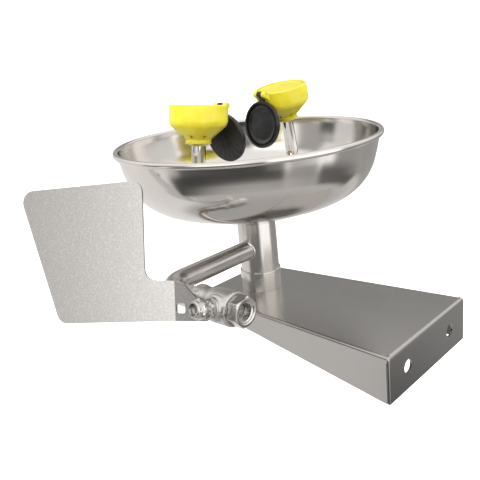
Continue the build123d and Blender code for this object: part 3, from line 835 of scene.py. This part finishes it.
# %% Machine the end cap
_, cap_high = box_mm("valve_end_cap")
mouth = cap_high.y - stem_y
cap_flats = 25.0
cap_length = 12.0
flow_radius = 7.5
mouth_radius = 9.3
mouth_depth = 11.0
thread_depth = 1.15
thread_pitch = 1.8
thread_length = 9.6
root_radius = mouth_radius + 0.2
cap_corner = cap_flats / 2 / math.cos(math.pi / 6)
cap_outline = [
    (flow_radius, mouth - cap_length + 0.1),
    (cap_corner - 1.6, mouth - cap_length + 0.1),
    (cap_corner, mouth - cap_length + 1.0),
    (cap_corner, mouth - 1.2),
    (cap_corner - 1.9, mouth),
    (mouth_radius + 1.3, mouth),
    (root_radius, mouth - 1.1),
    (root_radius, mouth - mouth_depth),
    (flow_radius, mouth - mouth_depth),
]
end_cap = lathe("valve_end_cap_hex", cap_outline, flow_place, steps=120, closed=True, flats=cap_flats)
flatten(soften(end_cap, 0.3, 25))
put_on(end_cap, turned_finish, "cast_steel", "stand", "valve_end_cap")
mouth_place = flow_place @ Matrix.Translation((0, 0, mouth - mouth_depth + 0.6))
crest = mouth_radius - thread_depth
cap_thread = thread(
    "valve_mouth_thread", crest, root_radius + 0.02, thread_pitch, thread_length, mouth_place, 72
)
put_on(cap_thread, turned_finish, "turned_steel", "stand")

# %% [markdown]
# The stem stands out of the body. From the body outwards come the gland nut, the flag's tab, a toothed lock
# washer and a collared lock nut. Heights are measured along the stem from the middle of the ball.

# %% Turn the stem, gland nut and flag fasteners
clear_radius = 5.1
flag_low = 25.0
flag_sheet = 2.0
washer_low = flag_low + flag_sheet
washer_high = washer_low + 1.5
nut_base = washer_high
gland_flats = 15.0
gland_corner = 8.66
gland_top = 24.6
gland = lathe(
    "gland_nut_hex",
    [
        (clear_radius, boss_top),
        (8.0, boss_top),
        (gland_corner, boss_top + 0.6),
        (gland_corner, gland_top - 0.8),
        (7.9, gland_top),
        (5.6, gland_top),
        (clear_radius, gland_top - 0.4),
    ],
    stem_place,
    closed=True,
    flats=gland_flats,
)
put_on(gland, turned_finish, "turned_steel", "stand", "gland_nut")

stem_foot = 12.0
stem_end = nut_base + 7.6
stem_radius = 5.0
stem_root = 4.35
stem_thread_low = 26.6
stem_outline = rounded(
    [
        (0, stem_foot),
        (stem_radius, stem_foot),
        (stem_radius, flag_low),
        (stem_root, flag_low + 0.6),
        (stem_root, stem_end),
        (0, stem_end),
    ],
    [0, 0.3, 0, 0, 0.5, 0],
)
stem = lathe("valve_stem_turned", stem_outline, stem_place)
put_on(stem, turned_finish, "turned_steel", "flag", "valve_stem")
ridge_place = stem_place @ Matrix.Translation((0, 0, stem_thread_low))
ridge_length = stem_end - washer_low
stem_ridge = thread(
    "valve_stem_thread", stem_radius - 0.05, stem_root - 0.05, 1.25, ridge_length, ridge_place
)
put_on(stem_ridge, turned_finish, "turned_steel", "flag")

washer_outline = rounded(
    [(5.15, washer_low), (9.0, washer_low), (9.0, washer_high), (5.15, washer_high)],
    [0, 0.3, 0.3, 0],
)
washer = lathe("lock_washer_ring", washer_outline, stem_place, closed=True)
tooth_count = 16
tooth_gap = [(6.6, -0.45), (10, -0.45), (10, 0.45), (6.6, 0.45)]
gaps = []
for k in range(tooth_count):
    at = stem_place @ Matrix.Rotation(2 * math.pi * k / tooth_count, 4, "Z")
    gaps.append(prism("tooth_gap", tooth_gap, washer_low + 0.75, washer_high + 0.5, at))
combine(washer, gaps, "DIFFERENCE")
put_on(washer, turned_finish, "turned_steel", "flag", "lock_washer")

nut_flats = 16.5
nut_corner = nut_flats / 2 / math.cos(math.pi / 6)
nut = lathe(
    "flag_lock_nut_hex",
    rounded(
        [
            (clear_radius, nut_base),
            (8.3, nut_base),
            (nut_corner, nut_base + 0.9),
            (nut_corner, nut_base + 5.6),
            (8.1, nut_base + 6.5),
            (7.2, nut_base + 6.6),
            (7.1, nut_base + 10.0),
            (6.3, nut_base + 11.0),
            (clear_radius, nut_base + 10.8),
        ],
        [0, 0, 0, 0, 0, 0.4, 1.2, 0.5, 0],
        steps=4,
    ),
    stem_place,
    closed=True,
    flats=nut_flats,
)
put_on(nut, turned_finish, "turned_steel", "flag", "flag_lock_nut")

# %% [markdown]
# ## The push flag
# A single sheet, bent once: a small tab clamped on the stem, and a large plate to lean a hand or an elbow on.
# The outline is drawn flat, as a sheet-metal worker lays it out, cut into strips where the bend will be, and
# then rolled round the bend line. Solidify gives the sheet its thickness, and a small bevel its edges.

# %% Lay out and bend the flag
droop = math.radians(12.0)
bend_angle = math.radians(22.0)
bend_inner = 3.0
bend_outer = flag_sheet + bend_inner
tab_end = -34.0
shoulder = 24.0
foot_edge = -10.5
plate_top = 115.0
big_round = 11.0
tab_round = 7.5
sheet_ease = 0.4
rise_way = stem_way.cross(Vector((0, 1, 0)))
wallward = Vector((0, 1, 0)) * math.cos(droop) + rise_way * math.sin(droop)
tab_place = place(valve_at + stem_way * flag_low * MM, stem_way, wallward)
bend_run = bend_outer * bend_angle
plate_x = tab_end - bend_run
tab_line = rounded(
    [
        (plate_x - 117.5, foot_edge),
        (8.0, foot_edge),
        (8.0, 8.5),
        (-8.0, 8.5),
        (-24.0, 21.5),
        (tab_end + 1.0, shoulder),
        (plate_x - 1.0, shoulder + 0.3),
        (plate_x - 28.5, shoulder + 2.4),
        (plate_x - 28.5, plate_top),
        (plate_x - 160.0, plate_top),
    ],
    [big_round, tab_round, tab_round, 8.0, 9.0, 0, 0, big_round, big_round, big_round],
    steps=7,
)
slot_centre = (-28.2, 0.6)
slot_half = (11.3 / 2, 8.6 / 2)
slot_round = 2.0
signs = ((-1, -1), (1, -1), (1, 1), (-1, 1))
slot_corners = [(slot_centre[0] + i * slot_half[0], slot_centre[1] + j * slot_half[1]) for i, j in signs]
slot_line = rounded(slot_corners, [slot_round] * 4, steps=4)
stem_hole = arc((0, 0), clear_radius, 0, 345, steps=23)


def bend_point(p):
    """A point of the flat sheet after bending, on the face that lies towards the valve."""
    if p.x >= tab_end:
        return Vector((p.x, p.y, 0))
    along = min(1.0, (tab_end - p.x) / bend_run) * bend_angle
    rest = max(0.0, plate_x - p.x)
    x = tab_end - bend_outer * math.sin(along) - rest * math.cos(bend_angle)
    z = bend_outer * (1 - math.cos(along)) + rest * math.sin(bend_angle)
    return Vector((x, p.y, z))


mesh = bmesh.new()
edges = []
for line in (tab_line, slot_line, stem_hole):
    dots = [mesh.verts.new((p[0], p[1], 0)) for p in line]
    edges += [mesh.edges.new((a, b)) for a, b in zip(dots, dots[1:] + dots[:1])]
bmesh.ops.triangle_fill(mesh, use_beauty=True, edges=edges)
bend_cuts = 6
for k in range(bend_cuts + 1):
    x = tab_end - bend_run * k / bend_cuts
    everything = list(mesh.verts) + list(mesh.edges) + list(mesh.faces)
    bmesh.ops.bisect_plane(mesh, geom=everything, plane_co=(x, 0, 0), plane_no=(1, 0, 0))
for dot in mesh.verts:
    dot.co = tab_place @ bend_point(dot.co)
flag = piece("push_flag_sheet", mesh)
if flag.data.polygons[0].normal.dot(stem_way) < 0:
    flag.data.flip_normals()
thick = flag.modifiers.new("sheet", "SOLIDIFY")
thick.thickness = flag_sheet * MM
thick.offset = 1
settle(flag)
flatten(soften(flag, sheet_ease, 60))
put_on(flag, flag_finish, "flag_sheet", "flag", "push_flag")

# %% [markdown]
# ## Heads, arms and caps
# Both heads are the same mouldings, so one function makes a whole side. The middle of the spray plate and the
# middle of the flow screen below it lie on the head's own axis, and the hinge pin says which way it faces.


# %% Find a head's own frame
screen_rise = 11.9


def head_place(side):
    """Local frame of a head: z up its axis, x away from its hinge, zero at the neck's lower face."""
    top = middle(f"{side}_spray_plate")
    low = middle(f"{side}_flow_screen")
    axis = (top - low).normalized()
    pin, _ = joint(f"{side}_cap_hinge")
    return place(low - axis * screen_rise * MM, axis, low - pin)


pin_at = head_place("right").inverted() @ joint("right_cap_hinge")[0]
pin_reach, pin_height = -pin_at.x, pin_at.z
print("hinge pin at", round(pin_reach, 2), "out and", round(pin_height, 2), "up the head")

cup_radius = 28.5
cup_height = 39.0
cone_top = 20.5
cup_neck = 12.4
neck_top = 6.4
neck_bore = 7.05
screen_bore = 5.5
shoulder_round = 9.0
grip_count = 8
plate_radius = 25.0
plate_fit = 0.1
plate_seat = 3.0
plate_thickness = 2.4
knuckle = 3.1
knuckle_length = 5.0
tongue = 6.4
hinge_gap = 0.35


def hinge_side(where):
    """Frame of the hinge: z along the pin, x towards the head's axis, y up the head."""
    return where @ Matrix.Translation((-pin_reach, 0, pin_height)) @ Matrix.Rotation(math.pi / 2, 4, "X")


# %% [markdown]
# A cup is turned, cut and joined: a lathe gives the neck, the cone and the wall, small prisms cut the grip
# pockets round the foot of the cone, and two lugs grow out of the wall to hold the pin.

# %% Mould a cup
def mould_cup(side, where):
    """The yellow cup: a stub neck, a cone, a short wall, eight grip pockets and two hinge lugs."""
    outer = rounded(
        [
            (cup_neck, 0.0),
            (cup_neck, neck_top),
            (cup_radius, cone_top),
            (cup_radius, cup_height),
            (plate_radius + plate_fit, cup_height),
        ],
        [0.5, 0.7, shoulder_round, 1.3, 0.4],
        steps=6,
    )
    chamber = plate_radius - 1.5
    inner = [
        (plate_radius + plate_fit, cup_height - plate_seat),
        (chamber, cup_height - plate_seat),
        (chamber, cone_top + 2.0),
        (14.0, 11.5),
        (screen_bore, 11.5),
        (screen_bore, 8.0),
        (neck_bore, 8.0),
    ]
    cup = lathe(f"{side}_head_cup_moulded", [(neck_bore, 0), *outer, *inner], where, closed=True)
    pocket_line = [(0, neck_top + 0.5), (2.4, neck_top + 4.0), (-2.4, neck_top + 4.0)]
    outward = Matrix(((0, 0, 1, 0), (1, 0, 0, 0), (0, 1, 0, 0), (0, 0, 0, 1)))
    pockets = []
    for k in range(grip_count):
        turn = Matrix.Rotation(2 * math.pi * (k + 0.5) / grip_count, 4, "Z")
        pockets.append(prism("pocket", pocket_line, cup_neck + 0.2, 20.0, where @ turn @ outward))
    combine(cup, pockets, "DIFFERENCE")
    hinge = hinge_side(where)
    root = pin_reach - cup_radius + 1.2
    outline = [*arc((0, 0), knuckle, 45, 250, steps=14), (root, -9.0), (root, -1.2)]
    lugs = []
    for way in (-1, 1):
        z = way * ((tongue + knuckle_length) / 2 + hinge_gap)
        lugs.append(prism("lug", outline, z - knuckle_length / 2, z + knuckle_length / 2, hinge))
    combine(cup, lugs, "UNION")
    flatten(soften(cup, 0.25, 45))
    put_on(cup, yellow_finish, "yellow_plastic", "stand", f"{side}_head_cup")


# %% [markdown]
# The spray plate closes the cup with rings of small jets. The jets are drilled through it, so water would
# find its way out, and the plate sits a little below the cup's rim. All jets are one cutter, made once.


# %% Drill a spray plate
jet_radius = 0.9
jet_rings = ((6.5, 6), (12.0, 12), (17.5, 18))


def drill_plate(side, where):
    """The yellow plate and its jets, in three rings."""
    low = cup_height - plate_thickness - 0.6
    high = low + plate_thickness
    face = high - 0.5
    outline = rounded(
        [
            (0, low),
            (plate_radius, low),
            (plate_radius, face),
            (plate_radius - 2.2, high - 0.1),
            (plate_radius - 3.4, face),
            (0, face),
        ],
        [0, 0.2, 0.4, 0.5, 0.5, 0],
        steps=4,
    )
    plate = lathe(f"{side}_spray_plate_moulded", outline, where, steps=72)
    jet_line = [
        (0, low - 1),
        (jet_radius, low - 1),
        (jet_radius, high - 0.9),
        (jet_radius + 0.3, high - 0.4),
        (0, high + 0.2),
    ]
    mesh = bmesh.new()
    for ring, count in jet_rings:
        for k in range(count):
            turn = 2 * math.pi * k / count
            at = where @ Matrix.Translation((ring * math.cos(turn), ring * math.sin(turn), 0))
            jet = lathe("jet", jet_line, at, steps=12)
            mesh.from_mesh(jet.data)
            bpy.data.objects.remove(jet)
    combine(plate, [piece("jets", mesh)], "DIFFERENCE")
    put_on(plate, yellow_finish, "yellow_plastic", "stand", f"{side}_spray_plate")


# %% [markdown]
# ## The dust caps
# Each cap hangs open on its pin, its dished face turned away from its own head. It is drawn as if closed on
# its cup, in a frame turned back about the pin by the whole travel of its joint. A raised lip, a groove and
# a shallow dish are on the inside; the outside has a fine radial pattern that gives a wet finger grip.


# %% Mould a cap
cap_edge = 24.9
cap_thick = 5.0
closed_gap = 0.4
dish = 2.9
groove = 3.4
rib_count = 36
rib_depth = 0.3


def mould_cap(side, where):
    """A rubber lid, open at rest."""
    found = next(j for j in frame["joints"] if j["name"] == f"{side}_cap_hinge")
    pin, way = joint(f"{side}_cap_hinge")
    back = Matrix.Rotation(-math.radians(found["range_deg"][1]), 4, way)
    open_place = Matrix.Translation(pin) @ back @ Matrix.Translation(-pin) @ where
    low = cup_height + closed_gap
    high = low + cap_thick
    outline = rounded(
        [
            (0, low + dish - 0.3),
            (cap_edge - 8.0, low + dish),
            (cap_edge - 4.6, low + 1.0),
            (cap_edge - 4.0, low + groove),
            (cap_edge - 2.8, low + groove),
            (cap_edge - 2.2, low),
            (cap_edge, low),
            (cap_edge, high),
            (0, high),
        ],
        [0, 4.0, 0.5, 0.4, 0.3, 0.5, 0.8, 1.4, 0],
        steps=5,
    )
    cap = lathe(f"{side}_dust_cap_moulded", outline, open_place, steps=120)
    rib_cuts = bmesh.new()
    for k in range(rib_count):
        start, reach = (8.0, 20.5) if k % 2 else (4.0, 12.0)
        at = open_place @ Matrix.Rotation(2 * math.pi * k / rib_count, 4, "Z")
        bar_line = [(start, -0.25), (reach, -0.3), (reach, 0.3), (start, 0.25)]
        bar = prism("bar", bar_line, high - rib_depth, high + 1, at)
        rib_cuts.from_mesh(bar.data)
        bpy.data.objects.remove(bar)
    combine(cap, [piece("ribs", rib_cuts)], "DIFFERENCE")
    hinge = hinge_side(open_place)
    root = pin_reach - cap_edge + 2.5
    tongue_line = [*arc((0, 0), knuckle, 90, 370, steps=20), (root, 0.9), (root, cap_thick - 0.9)]
    leaf = prism("leaf", tongue_line, -tongue / 2, tongue / 2, hinge)
    combine(cap, [leaf], "UNION")
    flatten(soften(cap, 0.2, 50))
    put_on(cap, rubber_finish, "black_rubber", f"{side}_cap", f"{side}_dust_cap")


# %% [markdown]
# A chromed tube carries each head: level out of the tee, one bend, then up along the head's own lean. With
# that, a side is whole, and a loop makes both.

# %% Sweep an arm and finish each side
arm_radius = 7.0
arm_wall = 1.5
arm_bend = 24.0
tee_end = 14.0
neck_depth = 8.0


def sweep_arm(side, way, where):
    """The chromed tube from the tee up to a head."""
    low, high = box_mm(f"{side}_head_arm")
    arm_y = (low.y + high.y) / 2
    arm_z = low.z + arm_radius
    neck = (where @ Vector((0, 0, neck_depth))) / MM
    foot = (where @ Vector((0, 0, 0))) / MM
    slope = (neck.x - foot.x) / (neck.z - foot.z)
    corner_x = foot.x - slope * (foot.z - arm_z)
    corners = [(way * tee_end, arm_y, arm_z), (corner_x, arm_y, arm_z), tuple(neck)]
    route = rounded(corners, [0, arm_bend, 0], steps=24)
    arm_bore = arm_radius - arm_wall
    arm = tube(f"{side}_head_arm_chromed", [p * MM for p in route], arm_radius * MM, arm_bore * MM)
    put_on(arm, chrome_finish, "chromed_tube", "stand", f"{side}_head_arm")


for side, way in (("right", 1), ("left", -1)):
    where = head_place(side)
    mould_cup(side, where)
    drill_plate(side, where)
    mould_cap(side, where)
    sweep_arm(side, way, where)

# %% [markdown]
# ## Pieces kept from the frame
# Plain inner pieces have the right shape already: the riser, the tee, the strainer, the nut under the
# bracket, the ball and its seats, the screens and the pins. They stay, and each gets its finish.

# %% Finish the kept pieces
kept = {
    "supply_riser": chrome_finish,
    "supply_tee": chrome_finish,
    "drain_strainer": bowl_finish,
    "column_lock_nut": turned_finish,
    "valve_ball": chrome_finish,
    "inlet_seat_ring": seal_finish,
    "outlet_seat_ring": seal_finish,
    "stem_packing": seal_finish,
    "drain_gasket": gasket_finish,
    "right_flow_screen": screen_finish,
    "left_flow_screen": screen_finish,
    "right_hinge_pin": turned_finish,
    "left_hinge_pin": turned_finish,
}
for node, finish in kept.items():
    data = frame["nodes"][node].data
    data.materials.clear()
    data.materials.append(finish.owner)
print("kept from the frame:", ", ".join(sorted(kept)))

# %% [markdown]
# ## The studio
# Polished steel shows what stands round it, so the studio is most of its look. A pale floor curves up into a
# pale wall on every side. Soft lamps give the shade on plastic and rubber. What the steel mirrors is a
# separate picture of light panels and dark gaps, held in the world and drawn with smooth steps.

# %% Floor and lamps
floor_z = -330.0
studio_reach = 5200.0
cove = 1400.0
corners = [(0, floor_z), (studio_reach, floor_z), (studio_reach, floor_z + studio_reach)]
floor = lathe("studio_floor", rounded(corners, [0, cove, 0], steps=16), upright)
pale = Finish("pale_floor", (0.92, 0.92, 0.92), 0.9, metallic=0.0)
pale.shader.inputs["Emission Color"].default_value = (1, 1, 1, 1)
pale.shader.inputs["Emission Strength"].default_value = 0.42
floor.data.materials.append(pale.owner)
floor.visible_glossy = False
floor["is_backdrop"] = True


def lamp(name, at, towards, size, watts, colour=(1, 1, 1)):
    """A soft square lamp, which lights the pieces but isn't mirrored in them."""
    data = bpy.data.lights.new(name, "AREA")
    data.size = size
    data.energy = watts
    data.color = colour
    made = bpy.data.objects.new(name, data)
    made.location = at
    made.rotation_euler = (Vector(towards) - Vector(at)).to_track_quat("-Z", "Y").to_euler()
    made.visible_glossy = False
    bpy.context.scene.collection.objects.link(made)


subject = (0, -0.2, 0.12)
lamp("top_lamp", (0.1, 0.2, 1.9), subject, 1.8, 18)
lamp("warm_lamp", (1.7, -0.7, 0.9), subject, 1.3, 10, (1, 0.95, 0.88))
lamp("cool_lamp", (-1.4, 1.4, 0.9), subject, 1.4, 6, (0.95, 0.98, 1))

# %% [markdown]
# The world is what the steel mirrors. It starts as a pale floor and ceiling, and panels are painted over it
# one after another, each between two headings round the object and two lifts above or below level. Bright
# ones draw the long highlights on the column, dark ones the band under the lip of the bowl.

# %% What the steel mirrors
world = bpy.data.worlds.new("studio_reflections")
bpy.context.scene.world = world
sky = Finish("sky", None, None, owner=world)
ray = sky.node("TexCoord", out=0)
height = sky.node("SeparateXYZ", {}, {0: ray}, out=2)
level = sky.node("VectorMath", {"operation": "MULTIPLY"}, {0: ray, 1: (1, 1, 0)})
level = sky.node("VectorMath", {"operation": "NORMALIZE"}, {0: level})


def panel(light, value, headings, lifts, soft):
    """Paint a panel over the surroundings. Angles in degrees: heading 0 is +X and 90 is +Y."""
    centre = math.radians(sum(headings) / 2)
    half = (headings[1] - headings[0]) / 2
    way = (math.cos(centre), math.sin(centre), 0)
    near = sky.node("VectorMath", {"operation": "DOT_PRODUCT"}, {0: level, 1: way}, out=1)
    inside = near.ramp(math.cos(math.radians(half + soft)), math.cos(math.radians(max(half - soft, 0))))
    foot, top = [[math.sin(math.radians(lift + step)) for step in (-soft, soft)] for lift in lifts]
    inside = inside * height.ramp(*foot) * height.ramp(*top, 1.0, 0.0)
    return light + (value - light) * inside


light = height.ramp(-1.0, -0.35, 0.5, 0.8) + height.ramp(-0.1, 0.8) * 0.45
panels = [
    ("far side", 0.95, (-137, -25), (-55, 2), 6),
    ("column highlight", 1.7, (57, 121), (-32, 45), 4),
    ("column's right edge", 0.42, (124, 205), (-30, 4), 4),
    ("bracket top", 0.38, (195, 250), (2, 32), 9),
    ("column shade", 0.26, (-23, 54), (-34, 8), 4),
    ("dark band under the lip", 0.07, (-36, 74), (-41, -27), 4),
    ("its paler gap", 0.4, (77, 106), (-41, -27), 4),
    ("its right end", 0.14, (109, 160), (-41, -28), 4),
    ("flag's shaded edge", 0.5, (-40, -12), (4, 38), 6),
    ("flag's bright face", 1.9, (-4, 36), (6, 40), 8),
    ("flag's tab", 0.14, (-50, -34), (-8, 13), 4),
]
for name, value, headings, lifts, soft in panels:
    light = panel(light, value, headings, lifts, soft)
    print(f"panel for the {name}: {value}")
surround = next(n for n in world.node_tree.nodes if n.type == "BACKGROUND")
sky.join(surround.inputs["Strength"], light)
surround.inputs["Color"].default_value = (1.0, 0.985, 0.965, 1)

# %% [markdown]
# ## The camera
# It stands past the wall's face, to the right of the bracket and a little above the bowl, and looks down
# across the valve towards the flag. From there the rim is a calm ellipse, and both wall holes show.

# %% Camera
look = Matrix(((-0.652, 0.753, -0.089), (-0.289, -0.138, 0.947), (0.701, 0.644, 0.307))).transposed()
lens = bpy.data.cameras.new("camera")
lens.lens = 47.83
lens.sensor_width = 36
lens.shift_x = -0.0458
camera = bpy.data.objects.new("camera", lens)
camera.matrix_world = Matrix.Translation((0.4879, 0.2499, 0.2900)) @ look.to_4x4()
bpy.context.scene.collection.objects.link(camera)
bpy.context.scene.camera = camera
bpy.context.scene.view_settings.view_transform = "Standard"

# %% [markdown]
# ## Sizes
# The pieces must stay inside the box of the design, so both boxes are written down and compared.

# %% Sizes and the end
seen_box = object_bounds()
for low_high, cad, seen in zip(("low", "high"), cad_box, seen_box):
    print(low_high, [round((s - c) / MM, 2) for s, c in zip(seen, cad)], "mm outside the frame box")
